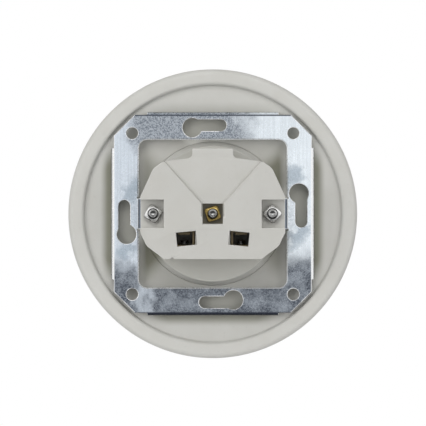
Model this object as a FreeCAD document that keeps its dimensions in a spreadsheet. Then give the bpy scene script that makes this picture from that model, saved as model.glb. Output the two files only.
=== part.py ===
import FreeCAD, Part
import math
import os
from types import SimpleNamespace

import Sketcher

# The part is a flush wall socket of type F. The wall is the plane y = 0, the room lies towards -Y,
# the wall box towards +Y, and Z is up. Lengths are millimetres and angles are degrees.

SIZES = {
    # round cover
    "cover_depth": 10.5,
    "cover_wall": 5.9,
    "cover_crown": 1.9,
    "shoulder_round": 6.0,
    "rim_width": 5.5,
    "rim_outer_round": 2.0,
    "rim_inner_round": 1.3,
    "rim_land": 0.5,
    "dish_clearance": 0.3,
    "dish_wall": 2.3,
    "dish_round": 0.6,
    "seat_depth": 1.2,
    "seat_clearance": 0.3,
    # socket well
    "flange_lap": 1.8,
    "flange_thickness": 2.2,
    "flange_round": 1.0,
    "hole_clearance": 0.15,
    "collar_length": 5.3,
    "collar_step": 1.65,
    "recess_diameter": 39.5,
    "recess_depth": 17.5,
    "recess_mouth_round": 0.8,
    "well_wall": 3.2,
    "well_floor": 2.6,
    "well_edge_round": 0.6,
    "pin_spacing": 19.0,
    "pin_hole_clearance": 0.4,
    "guide_rib_width": 4.6,
    "guide_rib_height": 1.5,
    "guide_rib_setback": 3.5,
    # mounting plate
    "sheet": 1.0,
    "bar_width": 8.55,
    "corner_cut": 7.1,
    "plate_clearance": 1.0,
    "stiffener_land": 4.15,
    "stiffener_height": 3.5,
    "stiffener_outset": 0.95,
    "bend_inside": 0.6,
    "tongue_gap": 1.25,
    "opening_round": 2.8,
    "corner_hole": 4.0,
    "corner_hole_inset": 2.3,
    "slot_width": 4.0,
    "slot_inset": 5.0,
    "slot_reach": 4.7,
    "keyhole": 6.6,
    "keyhole_inset": 4.2,
    "keyhole_offset": 7.0,
    "tongue_width": 10.3,
    "tongue_reach": 9.6,
    "relief_web": 0.2,
    # terminal block
    "block_depth": 15.4,
    "ear_gap": 0.2,
    "ear_top": 5.7,
    "ear_bottom": 6.3,
    "upper_corner_inset": 4.3,
    "upper_corner_up": 15.1,
    "shoulder_inset": 7.4,
    "shoulder_up": 17.3,
    "tab_foot_up": 18.6,
    "tab_half_width": 6.8,
    "block_top": 21.6,
    "lower_corner_inset": 2.1,
    "lower_corner_down": 10.7,
    "foot_half_width": 16.1,
    "block_bottom": 15.0,
    "block_corner_round": 4.0,
    "tab_foot_round": 1.4,
    "ramp_depth": 1.9,
    "ramp_rise": 3.2,
    "ramp_mouth": 6.5,
    "ramp_foot_up": 3.7,
    "ramp_end_down": 0.3,
    "ramp_spread": 42.3,
    "ramp_flank": 20.0,
    "gate_across": 13.4,
    "gate_width": 1.1,
    "gate_depth": 1.0,
    "nut_room": 0.1,
    "centre_pocket_depth": 4.6,
    "ear_pocket_height": 9.4,
    "ear_pocket_depth": 4.0,
    "ear_clearance": 0.25,
    "window_width": 6.6,
    "window_height": 4.6,
    "window_across": 8.7,
    "window_down": 8.25,
    "window_slope": 0.1,
    "cavity_width": 7.5,
    "cavity_top": 4.0,
    "cavity_bottom": 11.9,
    "cavity_depth": 12.2,
    # contacts and terminals
    "pin_diameter": 4.8,
    "sleeve_clearance": 0.1,
    "sleeve_wall": 0.6,
    "sleeve_length": 9.0,
    "sleeve_setback": 0.5,
    "sleeve_slit": 0.9,
    "strip": 0.8,
    "tail_width": 4.0,
    "tail_setback": 3.1,
    "tail_lap": 0.15,
    "pillar_clearance": 0.3,
    "pillar_height": 6.8,
    "pillar_depth": 5.8,
    "pillar_roof": 1.1,
    "pillar_sole": 1.5,
    "wire_hole_width": 5.4,
    # earth bracket
    "clip_width": 8.0,
    "clip_clearance": 0.3,
    "clip_sink": 1.65,
    "clip_nose_stand": 0.55,
    "clip_tip_sink": 1.45,
    "clip_nose_reach": 8.5,
    "clip_reach": 12.5,
    "groove_depth": 0.9,
    # fasteners
    "thread": 3.0,
    "thread_clearance": 0.2,
    "nut_clearance": 0.05,
    "tip_bevel": 0.4,
    "head_diameter": 5.5,
    "head_height": 1.9,
    "driver_slot": 0.8,
    "driver_slot_depth": 1.0,
    "tip_stand_out": 0.9,
    "ear_screw_inset": 4.2,
    "head_gap": 0.3,
    "steel_nut": 4.9,
    "steel_nut_height": 2.4,
    "brass_nut": 4.7,
    "brass_nut_height": 2.2,
    "nut_bevel_drop": 1.0,
    "nut_corner_round": 0.8,
    "left_nut_turn": 58.0,
    "right_nut_turn": 42.0,
    "brass_nut_turn": 18.0,
    "clamp_head_diameter": 4.2,
    "clamp_head_height": 1.5,
    "clamp_head_clearance": 0.3,
    "clamp_bite": 1.7,
}

HORIZONTAL, VERTICAL = range(-1, -3, -1)
START, END, CENTRE = range(1, 4)
ORIGIN_POINT = (HORIZONTAL, START)
TOLERANCE = 1e-4


class Size:
    """A number together with the sheet expression that gives it."""

    def __init__(self, value, text):
        self.value = float(value)
        self.text = text

    def __add__(self, other):
        other = as_size(other)
        return Size(self.value + other.value, f"({self.text} + {other.text})")

    def __sub__(self, other):
        other = as_size(other)
        return Size(self.value - other.value, f"({self.text} - {other.text})")

    def __mul__(self, other):
        other = as_size(other)
        return Size(self.value * other.value, f"({self.text} * {other.text})")

    def __truediv__(self, other):
        other = as_size(other)
        return Size(self.value / other.value, f"({self.text} / {other.text})")

    def __neg__(self):
        return Size(-self.value, f"(-{self.text})")


def as_size(number):
    """A plain number as a size, and a size as it is."""
    return number if isinstance(number, Size) else Size(number, f"({number})")


def tangent(angle):
    """The tangent of an angle in degrees."""
    return Size(math.tan(math.radians(angle.value)), f"tan({angle.text})")


def root(size):
    """The square root."""
    return Size(math.sqrt(size.value), f"sqrt({size.text})")


def smaller(first, second):
    """The smaller of two sizes."""
    return Size(min(first.value, second.value), f"min({first.text}; {second.text})")


ZERO = as_size(0)

doc = FreeCAD.newDocument("WallSocket")
sheet = doc.addObject("Spreadsheet::Sheet", "Sizes")
for row, (alias, number) in enumerate(SIZES.items(), start=1):
    sheet.set(f"A{row}", alias)
    sheet.set(f"B{row}", str(number))
    sheet.setAlias(f"B{row}", alias)
doc.recompute()

s = SimpleNamespace(**{alias: Size(sheet.get(alias), f"Sizes.{alias}") for alias in SIZES})

# Levels along Y that several pieces share, from the room to the wall box
cover_front = -s.cover_depth
seat_level = cover_front + s.seat_depth
flange_front = seat_level - s.flange_thickness
recess_floor = flange_front + s.recess_depth
groove_floor = recess_floor + s.groove_depth
well_rear = recess_floor + s.well_floor
head_front = well_rear + s.head_gap
tongue_front = head_front + s.head_height
tongue_rear = tongue_front + s.sheet
block_rear = well_rear + s.block_depth
cavity_end = well_rear + s.cavity_depth
ear_pocket_floor = block_rear - s.ear_pocket_depth
centre_pocket_floor = block_rear - s.centre_pocket_depth
tail_front = well_rear + s.tail_setback
tail_rear = tail_front + s.strip
pillar_rear = tail_rear + s.pillar_depth
pillar_middle = tail_rear + s.pillar_depth / 2

# Radii and offsets that several pieces share
recess_radius = s.recess_diameter / 2
well_radius = recess_radius + s.well_wall
collar_radius = well_radius + s.collar_step
hole_radius = collar_radius + s.hole_clearance
flange_radius = hole_radius + s.flange_lap
clip_root = recess_radius + s.clip_sink
pin_offset = s.pin_spacing / 2
half_opening = well_radius + s.tongue_gap + s.sheet
half_plate = half_opening + s.bar_width
half_side = half_plate - s.corner_cut
rim_inner = root(half_plate * half_plate + half_side * half_side) + s.plate_clearance
cover_radius = rim_inner + s.rim_width
block_half_width = half_opening - s.sheet - s.ear_gap
lower_corner_across = block_half_width - s.lower_corner_inset
upper_corner_across = block_half_width - s.upper_corner_inset
shoulder_across = block_half_width - s.shoulder_inset
ear_screw_across = block_half_width - s.ear_screw_inset
tongue_relief = s.keyhole_inset - s.keyhole / 2 - s.relief_web
half_diagonal = root(as_size(2)) / 2
ear_pocket_start = ear_screw_across - s.steel_nut * half_diagonal - s.nut_room
half_centre_pocket = s.brass_nut * half_diagonal + s.nut_room
clearance_radius = s.thread / 2 + s.thread_clearance
nut_bore_radius = s.thread / 2 + s.nut_clearance
sleeve_inner = s.pin_diameter / 2 + s.sleeve_clearance
sleeve_outer = sleeve_inner + s.sleeve_wall
pillar_bottom = -s.cavity_bottom
pillar_top = pillar_bottom + s.pillar_height
wire_hole_top = pillar_top - s.pillar_roof
wire_hole_bottom = pillar_bottom + s.pillar_sole


# Drawing helpers


def new_body(name):
    """An empty body whose name is its node's name."""
    body = doc.addObject("PartDesign::Body", name)
    body.Label = name
    return body


def origin_feature(body, role):
    """The plane or axis of the body's own origin that has this role."""
    return next(feature for feature in body.Origin.OriginFeatures if feature.Role == role)


def new_sketch(body, name, plane, level=ZERO):
    """A sketch on one of the body's planes, moved along the plane's own axis to a level."""
    sketch = body.newObject("Sketcher::SketchObject", name)
    sketch.AttachmentSupport = [(origin_feature(body, plane), "")]
    sketch.MapMode = "FlatFace"
    along = -level if plane == "XZ_Plane" else level
    sketch.setExpression("AttachmentOffset.Base.z", along.text)
    return sketch


def bind(sketch, constraint, size):
    """Adds a dimension to a sketch and ties it to its expression."""
    row = sketch.addConstraint(constraint)
    sketch.setExpression(f"Constraints[{row}]", size.text)


def place(sketch, geometry, point, across, up):
    """Ties one point of a sketch to its two coordinates."""
    for kind, axis, size in (("DistanceX", VERTICAL, across), ("DistanceY", HORIZONTAL, up)):
        if size is ZERO:
            sketch.addConstraint(Sketcher.Constraint("PointOnObject", geometry, point, axis))
        else:
            bind(sketch, Sketcher.Constraint(kind, *ORIGIN_POINT, geometry, point, size.value), size)


def draw_polygon(sketch, points):
    """A closed outline of straight lines through the points."""
    corners = [FreeCAD.Vector(across.value, up.value, 0) for across, up in points]
    lines = [Part.LineSegment(a, b) for a, b in zip(corners, corners[1:] + corners[:1])]
    rows = [sketch.addGeometry(line) for line in lines]
    for line, following in zip(rows, rows[1:] + rows[:1]):
        sketch.addConstraint(Sketcher.Constraint("Coincident", line, END, following, START))
    for line, (across, up) in zip(rows, points):
        place(sketch, line, START, across, up)


def draw_box(sketch, left, right, bottom, top):
    """An upright rectangle between two places across and two places up."""
    draw_polygon(sketch, [(left, bottom), (right, bottom), (right, top), (left, top)])


def draw_circle(sketch, across, up, radius):
    """A circle about a point."""
    middle = FreeCAD.Vector(across.value, up.value, 0)
    row = sketch.addGeometry(Part.Circle(middle, FreeCAD.Vector(0, 0, 1), radius.value))
    place(sketch, row, CENTRE, across, up)
    bind(sketch, Sketcher.Constraint("Radius", row, radius.value), radius)


def draw_level_slot(sketch, left, right, up, radius):
    """A round ended slot that runs level between the centres of its two ends."""
    upright = FreeCAD.Vector(0, 0, 1)
    ends = []
    for across, turn in ((left, math.pi / 2), (right, -math.pi / 2)):
        middle = FreeCAD.Vector(across.value, up.value, 0)
        arc = Part.ArcOfCircle(Part.Circle(middle, upright, radius.value), turn, turn + math.pi)
        ends.append(sketch.addGeometry(arc))
        place(sketch, ends[-1], CENTRE, across, up)
    for first, second, side in ((ends[0], ends[1], -1), (ends[1], ends[0], 1)):
        height = up.value + side * radius.value
        span = (left, right) if side < 0 else (right, left)
        points = [FreeCAD.Vector(across.value, height, 0) for across in span]
        line = sketch.addGeometry(Part.LineSegment(*points))
        sketch.addConstraint(Sketcher.Constraint("Tangent", first, END, line, START))
        sketch.addConstraint(Sketcher.Constraint("Tangent", line, END, second, START))
    bind(sketch, Sketcher.Constraint("Radius", ends[0], radius.value), radius)


def pad(body, sketch, length, both_ways=False):
    """Adds the sketch's outline as a solid, along the sketch's normal or evenly about it."""
    feature = body.newObject("PartDesign::Pad", f"{sketch.Name}_pad")
    feature.Profile = sketch
    feature.SideType = "Symmetric" if both_ways else "One side"
    feature.setExpression("Length", length.text)
    doc.recompute()
    return feature


def pocket(body, sketch, length, reverse=False):
    """Cuts the sketch's outline against the sketch's normal, or along it when reversed."""
    before = body.Shape.Volume
    feature = body.newObject("PartDesign::Pocket", f"{sketch.Name}_pocket")
    feature.Profile = sketch
    feature.Reversed = reverse
    feature.setExpression("Length", length.text)
    doc.recompute()
    if body.Shape.Volume >= before:
        raise ValueError(f"{feature.Name} cuts nothing")
    return feature


def spin(body, sketch, kind="PartDesign::Revolution", axis="H_Axis"):
    """Turns the sketch's outline a full circle about an axis of the sketch."""
    feature = body.newObject(kind, f"{sketch.Name}_spin")
    feature.Profile = sketch
    feature.ReferenceAxis = (sketch, [axis])
    feature.Angle = 360
    doc.recompute()
    return feature


def quarter_pattern(body, originals):
    """Repeats features at every quarter turn about Y."""
    feature = body.newObject("PartDesign::PolarPattern", f"{originals[0].Name}_quarters")
    feature.Originals = originals
    feature.Axis = (origin_feature(body, "Y_Axis"), [""])
    feature.Angle = 360
    feature.Occurrences = 4
    body.Tip = feature
    doc.recompute()
    return feature


def round_edges(body, name, radius, edges):
    """Rounds the edges of the body that one of the tests finds."""
    found = [
        f"Edge{number}"
        for number, edge in enumerate(body.Shape.Edges, start=1)
        if any(test(edge) for test in edges)
    ]
    if len(found) < len(edges):
        raise ValueError(f"{name} finds {len(found)} edges for {len(edges)} places")
    base = body.Tip
    feature = body.newObject("PartDesign::Fillet", name)
    feature.Base = (base, found)
    feature.setExpression("Radius", radius.text)
    doc.recompute()
    return feature


def ring(radius, level):
    """A test for a circular edge about Y."""

    def test(edge):
        curve = edge.Curve
        return (
            isinstance(curve, Part.Circle)
            and abs(curve.Radius - radius.value) < TOLERANCE
            and abs(curve.Center.y - level.value) < TOLERANCE
            and math.hypot(curve.Center.x, curve.Center.z) < TOLERANCE
        )

    return test


def straight(**place_of):
    """A test for an edge whose ends both lie at the given places along two of the axes."""

    def test(edge):
        return len(edge.Vertexes) == 2 and all(
            abs(getattr(vertex.Point, axis) - size.value) < TOLERANCE
            for vertex in edge.Vertexes
            for axis, size in place_of.items()
        )

    return test


# Moulded pieces


def make_cover_frame():
    """The round cover: a crowned front, a rolled rim towards the wall and a dished inner side."""
    body = new_body("cover_frame")
    seat_radius = flange_radius + s.seat_clearance
    shoulder = cover_front + s.cover_crown
    dish = -s.stiffener_height - s.dish_clearance
    rim = dish + s.dish_wall
    shoulder_round = smaller(s.shoulder_round, rim - shoulder - s.rim_outer_round - s.rim_land)
    profile = new_sketch(body, "cover_profile", "YZ_Plane")
    outline = [
        (rim, rim_inner),
        (rim, cover_radius),
        (shoulder, cover_radius),
        (cover_front, seat_radius),
        (seat_level, seat_radius),
        (seat_level, hole_radius),
        (cover_front + s.cover_wall, hole_radius),
        (dish, rim_inner),
    ]
    draw_polygon(profile, outline)
    spin(body, profile)
    round_edges(body, "cover_shoulder", shoulder_round, [ring(cover_radius, shoulder)])
    round_edges(body, "cover_rim_outer", s.rim_outer_round, [ring(cover_radius, rim)])
    round_edges(body, "cover_rim_inner", s.rim_inner_round, [ring(rim_inner, rim)])
    round_edges(body, "cover_dish", s.dish_round, [ring(rim_inner, dish)])
    return body


def make_socket_well():
    """The cup that takes the plug: flange, collar, recess, pin holes, ribs and clip slots."""
    body = new_body("socket_well")
    collar_end = seat_level + s.collar_length
    taper_end = collar_end + s.collar_step
    profile = new_sketch(body, "well_profile", "YZ_Plane")
    outline = [
        (well_rear, ZERO),
        (well_rear, well_radius),
        (taper_end, well_radius),
        (collar_end, collar_radius),
        (seat_level, collar_radius),
        (seat_level, flange_radius),
        (flange_front, flange_radius),
        (flange_front, recess_radius),
        (recess_floor, recess_radius),
        (recess_floor, ZERO),
    ]
    draw_polygon(profile, outline)
    spin(body, profile)
    round_edges(body, "well_flange_edge", s.flange_round, [ring(flange_radius, flange_front)])
    round_edges(body, "well_mouth", s.recess_mouth_round, [ring(recess_radius, flange_front)])
    round_edges(body, "well_rear_edge", s.well_edge_round, [ring(well_radius, well_rear)])

    # guide ribs on both sides of the recess
    ribs = new_sketch(body, "guide_ribs", "XZ_Plane", recess_floor)
    rib_half = s.guide_rib_width / 2
    rib_inner = recess_radius - s.guide_rib_height
    rib_outer = recess_radius + s.well_wall / 2
    draw_box(ribs, rib_inner, rib_outer, -rib_half, rib_half)
    draw_box(ribs, -rib_outer, -rib_inner, -rib_half, rib_half)
    pad(body, ribs, s.recess_depth - s.guide_rib_setback)

    # groove across the floor and up both walls for the earth bracket
    groove = new_sketch(body, "bracket_groove", "YZ_Plane")
    slot_top = clip_root + s.clip_clearance
    slot_front = groove_floor - s.clip_reach - s.clip_clearance * 2
    draw_box(groove, slot_front, groove_floor, -slot_top, slot_top)
    groove_width = s.clip_width + s.clip_clearance * 2
    cut = body.newObject("PartDesign::Pocket", "bracket_groove_pocket")
    cut.Profile = groove
    cut.SideType = "Symmetric"
    cut.setExpression("Length", groove_width.text)
    doc.recompute()

    # pin holes and the centre screw's hole
    holes = new_sketch(body, "well_holes", "XZ_Plane", recess_floor)
    pin_hole_radius = s.pin_diameter / 2 + s.pin_hole_clearance
    draw_circle(holes, pin_offset, ZERO, pin_hole_radius)
    draw_circle(holes, -pin_offset, ZERO, pin_hole_radius)
    draw_circle(holes, ZERO, ZERO, clearance_radius)
    pocket(body, holes, s.well_floor)
    return body


def block_outline():
    """The terminal block's corners, round from the right ear as the wall box sees them."""
    right = [
        (s.foot_half_width, -s.block_bottom),
        (lower_corner_across, -s.lower_corner_down),
        (block_half_width, -s.ear_bottom),
        (block_half_width, s.ear_top),
        (upper_corner_across, s.upper_corner_up),
        (shoulder_across, s.shoulder_up),
        (s.tab_half_width, s.tab_foot_up),
        (s.tab_half_width, s.block_top),
    ]
    left = [(-across, up) for across, up in reversed(right)]
    return right + left


def make_base_block():
    """The terminal block: a moulding with contact cavities, wire windows, nut pockets and a ramp."""
    body = new_body("base_block")
    outline = new_sketch(body, "block_outline", "XZ_Plane", block_rear)
    draw_polygon(outline, block_outline())
    pad(body, outline, s.block_depth)
    rounded = [
        (lower_corner_across, -s.lower_corner_down),
        (upper_corner_across, s.upper_corner_up),
        (shoulder_across, s.shoulder_up),
    ]
    corners = [straight(x=across * side, z=up) for across, up in rounded for side in (1, -1)]
    round_edges(body, "block_corners", s.block_corner_round, corners)
    feet = [straight(x=s.tab_half_width * side, z=s.tab_foot_up) for side in (1, -1)]
    round_edges(body, "tab_feet", s.tab_foot_round, feet)

    # the wedge shaped ramp sinks from the tab to the centre pocket, between sloping flanks
    ramp = new_sketch(body, "ramp", "XZ_Plane", block_rear - s.ramp_depth)
    lean = -s.ramp_rise
    tilt = FreeCAD.Rotation(FreeCAD.Vector(1, 0, 0), lean.value)
    ramp.AttachmentOffset = FreeCAD.Placement(FreeCAD.Vector(), tilt)
    ramp.setExpression("AttachmentOffset.Rotation.Angle", f"{lean.text} * 1 deg")
    foot = s.ramp_mouth / 2
    reach = s.block_top * 2
    spread = foot + (reach - s.ramp_foot_up) * tangent(s.ramp_spread)
    sides = [(foot, -s.ramp_end_down), (foot, s.ramp_foot_up), (spread, reach)]
    draw_polygon(ramp, sides + [(-across, up) for across, up in reversed(sides)])
    sink = pocket(body, ramp, s.block_depth)
    sink.setExpression("TaperAngle", f"{s.ramp_flank.text} * 1 deg")
    doc.recompute()

    # small gate mark on the lower edge
    gate = new_sketch(body, "gate_mark", "XZ_Plane", block_rear)
    draw_circle(gate, s.gate_across, -s.block_bottom, s.gate_width / 2)
    pocket(body, gate, s.gate_depth, reverse=True)

    # square pocket for the brass nut and the side pockets for the steel nuts
    centre = new_sketch(body, "centre_pocket", "XZ_Plane", block_rear)
    half = half_centre_pocket
    draw_box(centre, -half, half, -half, half)
    pocket(body, centre, s.centre_pocket_depth, reverse=True)
    for side, name in ((1, "left"), (-1, "right")):
        ear = new_sketch(body, f"{name}_ear_pocket", "XZ_Plane", block_rear)
        ends = (ear_pocket_start * side, block_half_width * side * 2)
        half = s.ear_pocket_height / 2
        draw_box(ear, *ends, -half, half)
        pocket(body, ear, s.ear_pocket_depth, reverse=True)
        seat = new_sketch(body, f"{name}_tongue_seat", "XZ_Plane", well_rear)
        half = s.tongue_width / 2 + s.ear_clearance
        inner = half_opening - s.tongue_reach - s.ear_clearance
        draw_box(seat, inner * side, block_half_width * side * 2, -half, half)
        pocket(body, seat, tongue_rear - well_rear)

    # screw holes through the block
    holes = new_sketch(body, "block_holes", "XZ_Plane", well_rear)
    for across in (ZERO, ear_screw_across, -ear_screw_across):
        draw_circle(holes, across, ZERO, clearance_radius)
    pocket(body, holes, s.block_depth)

    # contact cavities, wire windows and screwdriver holes
    for side, name in ((1, "left"), (-1, "right")):
        cavity = new_sketch(body, f"{name}_cavity", "XZ_Plane", well_rear)
        half = s.cavity_width / 2
        middle = pin_offset * side
        draw_box(cavity, middle - half, middle + half, -s.cavity_bottom, s.cavity_top)
        pocket(body, cavity, s.cavity_depth)
        window = new_sketch(body, f"{name}_window", "XZ_Plane", block_rear)
        draw_polygon(window, window_corners(side))
        pocket(body, window, block_rear - cavity_end, reverse=True)
        access = new_sketch(body, f"{name}_access", "XY_Plane", -s.block_bottom)
        access_radius = s.clamp_head_diameter / 2 + s.clamp_head_clearance
        draw_circle(access, middle, pillar_middle, access_radius)
        pocket(body, access, s.block_bottom - s.cavity_bottom, reverse=True)
    return body


def window_corners(side):
    """The four corners of a wire window, which drops a little towards the block's edge."""
    half_width = s.window_width / 2
    half_height = s.window_height / 2
    corners = []
    for along, over in ((-1, -1), (1, -1), (1, 1), (-1, 1)):
        across = s.window_across + half_width * along + half_height * s.window_slope * over
        up = half_height * over - half_width * s.window_slope * along - s.window_down
        corners.append((across * side, up))
    return corners


# Folded plate


def make_mounting_plate():
    """The folded steel plate: stiffened edges, holes, key slots and two stepped tongues."""
    body = new_body("mounting_plate")
    half_stiffener = half_side - s.stiffener_land
    bend_outside = s.bend_inside + s.sheet
    flange_face = half_plate + s.stiffener_outset
    fold_start = flange_face - bend_outside
    side = [
        (-half_side, half_plate),
        (-half_stiffener, half_plate),
        (-half_stiffener, fold_start),
        (half_stiffener, fold_start),
        (half_stiffener, half_plate),
        (half_side, half_plate),
    ]
    outline = []
    for _ in range(4):
        outline += side
        side = [(up, -across) for across, up in side]
    blank = new_sketch(body, "plate_blank", "XZ_Plane")
    draw_polygon(blank, outline)
    pad(body, blank, s.sheet)

    # stiffening edges folded towards the room
    fold = new_sketch(body, "stiffener", "YZ_Plane")
    inner_face = flange_face - s.sheet
    profile = [
        (ZERO, fold_start - s.sheet),
        (ZERO, flange_face),
        (-s.stiffener_height, flange_face),
        (-s.stiffener_height, inner_face),
        (-s.sheet, inner_face),
        (-s.sheet, fold_start - s.sheet),
    ]
    draw_polygon(fold, profile)
    folded = pad(body, fold, half_stiffener * 2, both_ways=True)
    quarter_pattern(body, [folded])
    outside = [straight(y=ZERO, **{axis: flange_face * sign}) for axis in "xz" for sign in (1, -1)]
    round_edges(body, "stiffener_bends", bend_outside, outside)
    inside = [straight(y=-s.sheet, **{axis: inner_face * sign}) for axis in "xz" for sign in (1, -1)]
    round_edges(body, "stiffener_roots", s.bend_inside, inside)

    # square opening
    window = new_sketch(body, "plate_opening", "XZ_Plane")
    draw_box(window, -half_opening, half_opening, -half_opening, half_opening)
    pocket(body, window, s.sheet, reverse=True)
    corners = [straight(x=half_opening * a, z=half_opening * b) for a in (1, -1) for b in (1, -1)]
    round_edges(body, "opening_corners", s.opening_round, corners)

    # key slots and corner holes
    neck = new_sketch(body, "slot_neck", "XZ_Plane")
    neck_radius = s.slot_width / 2
    slot_up = half_opening + s.slot_inset
    draw_level_slot(neck, -(s.slot_reach - neck_radius), s.keyhole_offset, slot_up, neck_radius)
    necks = pocket(body, neck, s.sheet, reverse=True)
    eye = new_sketch(body, "slot_eye", "XZ_Plane")
    draw_circle(eye, s.keyhole_offset, half_opening + s.keyhole_inset, s.keyhole / 2)
    eyes = pocket(body, eye, s.sheet, reverse=True)
    quarter_pattern(body, [necks, eyes])
    holes = new_sketch(body, "corner_holes", "XZ_Plane")
    reach = half_opening + s.corner_hole_inset
    for across, up in ((reach, reach), (-reach, reach), (-reach, -reach), (reach, -reach)):
        draw_circle(holes, across, up, s.corner_hole / 2)
    pocket(body, holes, s.sheet, reverse=True)
    add_tongues(body, bend_outside)
    return body


def add_tongues(body, bend_outside):
    """Two tongues that step back from the opening's sides and turn in under the block's ears."""
    half_tongue = s.tongue_width / 2
    wall_inner = half_opening - s.sheet
    tip = half_opening - s.tongue_reach
    for side, name in ((1, "left"), (-1, "right")):
        relief = new_sketch(body, f"{name}_relief", "XZ_Plane")
        ends = (half_opening * side, (half_opening + tongue_relief) * side)
        draw_box(relief, *ends, half_tongue, half_tongue + tongue_relief)
        draw_box(relief, *ends, -half_tongue - tongue_relief, -half_tongue)
        pocket(body, relief, s.sheet, reverse=True)
        tongue = new_sketch(body, f"{name}_tongue", "XY_Plane")
        profile = [
            (half_opening + tongue_relief, -s.sheet),
            (wall_inner, -s.sheet),
            (wall_inner, tongue_front),
            (tip, tongue_front),
            (tip, tongue_rear),
            (half_opening, tongue_rear),
            (half_opening, ZERO),
            (half_opening + tongue_relief, ZERO),
        ]
        draw_polygon(tongue, [(across * side, back) for across, back in profile])
        pad(body, tongue, s.tongue_width, both_ways=True)
        outer = [
            straight(x=wall_inner * side, y=-s.sheet),
            straight(x=half_opening * side, y=tongue_rear),
        ]
        round_edges(body, f"{name}_tongue_bends", bend_outside, outer)
        inner = [straight(x=half_opening * side, y=ZERO), straight(x=wall_inner * side, y=tongue_front)]
        round_edges(body, f"{name}_tongue_roots", s.bend_inside, inner)
        hole = new_sketch(body, f"{name}_tongue_hole", "XZ_Plane", tongue_front)
        draw_circle(hole, ear_screw_across * side, ZERO, clearance_radius)
        pocket(body, hole, s.sheet)


# Brass pieces


def make_contact(name, side):
    """A slit sleeve for one plug pin, with a tail that reaches into the terminal."""
    body = new_body(name)
    front = well_rear + s.sleeve_setback
    sleeve = new_sketch(body, f"{name}_sleeve", "XZ_Plane", front + s.sleeve_length)
    draw_circle(sleeve, pin_offset * side, ZERO, sleeve_outer)
    draw_circle(sleeve, pin_offset * side, ZERO, sleeve_inner)
    pad(body, sleeve, s.sleeve_length)
    slit = new_sketch(body, f"{name}_slit", "XZ_Plane", front)
    half = s.sleeve_slit / 2
    draw_box(slit, pin_offset * side - half, pin_offset * side + half, ZERO, sleeve_outer * 2)
    pocket(body, slit, s.sleeve_length)
    tail = new_sketch(body, f"{name}_tail", "YZ_Plane", pin_offset * side)
    tail_bottom = wire_hole_top - s.strip
    tail_root = -(sleeve_inner + s.tail_lap)
    profile = [
        (tail_front, tail_root),
        (tail_front, tail_bottom),
        (pillar_rear, tail_bottom),
        (pillar_rear, wire_hole_top),
        (tail_rear, wire_hole_top),
        (tail_rear, tail_root),
    ]
    draw_polygon(tail, profile)
    pad(body, tail, s.tail_width, both_ways=True)
    return body


def make_terminal(name, side):
    """A brass pillar with a wire hole and a threaded hole for its clamp screw."""
    body = new_body(name)
    middle = pin_offset * side
    half = s.cavity_width / 2 - s.pillar_clearance
    pillar = new_sketch(body, f"{name}_pillar", "XZ_Plane", pillar_rear)
    draw_box(pillar, middle - half, middle + half, pillar_bottom, pillar_top)
    pad(body, pillar, s.pillar_depth - s.nut_clearance)
    wire = new_sketch(body, f"{name}_wire_hole", "XZ_Plane", pillar_rear)
    half = s.wire_hole_width / 2
    draw_box(wire, middle - half, middle + half, wire_hole_bottom, wire_hole_top)
    pocket(body, wire, s.pillar_depth, reverse=True)
    thread = new_sketch(body, f"{name}_thread", "XY_Plane", pillar_bottom)
    draw_circle(thread, middle, pillar_middle, nut_bore_radius)
    pocket(body, thread, s.pillar_sole, reverse=True)
    return body


def make_earth_bracket():
    """A sprung strap across the recess floor, bent up at both ends into the earth clips."""
    body = new_body("earth_bracket")
    strap = new_sketch(body, "earth_strap", "YZ_Plane")
    nose = groove_floor - s.clip_nose_reach
    tip = groove_floor - s.clip_reach
    outer = [
        (groove_floor, clip_root),
        (nose, recess_radius - s.clip_nose_stand),
        (tip, recess_radius + s.clip_tip_sink),
    ]
    inner = [(level, radius - s.strip) for level, radius in reversed(outer)]
    inner[-1] = (groove_floor - s.strip, clip_root - s.strip)
    upper = outer + inner
    lower = [(level, -radius) for level, radius in reversed(upper)]
    draw_polygon(strap, upper + lower)
    pad(body, strap, s.clip_width, both_ways=True)
    hole = new_sketch(body, "earth_screw_hole", "XZ_Plane", groove_floor)
    draw_circle(hole, ZERO, ZERO, clearance_radius)
    pocket(body, hole, s.strip, reverse=True)
    return body


# Fasteners, each drawn along Y with its seat at the origin


def make_screw(name, length, head_diameter, head_height):
    """A slotted cheese head screw whose shank runs along +Y from under its head."""
    body = new_body(name)
    profile = new_sketch(body, f"{name}_profile", "YZ_Plane")
    thread = s.thread / 2
    outline = [
        (-head_height, ZERO),
        (-head_height, head_diameter / 2),
        (ZERO, head_diameter / 2),
        (ZERO, thread),
        (length - s.tip_bevel, thread),
        (length, thread - s.tip_bevel),
        (length, ZERO),
    ]
    draw_polygon(profile, outline)
    spin(body, profile)
    slot = new_sketch(body, f"{name}_slot", "XZ_Plane", -head_height)
    half = s.driver_slot / 2
    draw_box(slot, -head_diameter, head_diameter, -half, half)
    pocket(body, slot, s.driver_slot_depth)
    return body


def make_square_nut(name, width, height):
    """A square nut along +Y from the origin, with the corners of its far face turned down."""
    body = new_body(name)
    blank = new_sketch(body, f"{name}_blank", "XZ_Plane", height)
    half = width / 2
    draw_box(blank, -half, half, -half, half)
    pad(body, blank, height)
    corners = [straight(x=half * a, z=half * b) for a in (1, -1) for b in (1, -1)]
    round_edges(body, f"{name}_corners", s.nut_corner_round, corners)
    turned = new_sketch(body, f"{name}_turned", "YZ_Plane")
    draw_polygon(turned, [(height, half), (height, width), (height - s.nut_bevel_drop, width)])
    spin(body, turned, "PartDesign::Groove")
    bore = new_sketch(body, f"{name}_bore", "XZ_Plane", height)
    draw_circle(bore, ZERO, ZERO, nut_bore_radius)
    pocket(body, bore, height, reverse=True)
    return body


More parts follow.
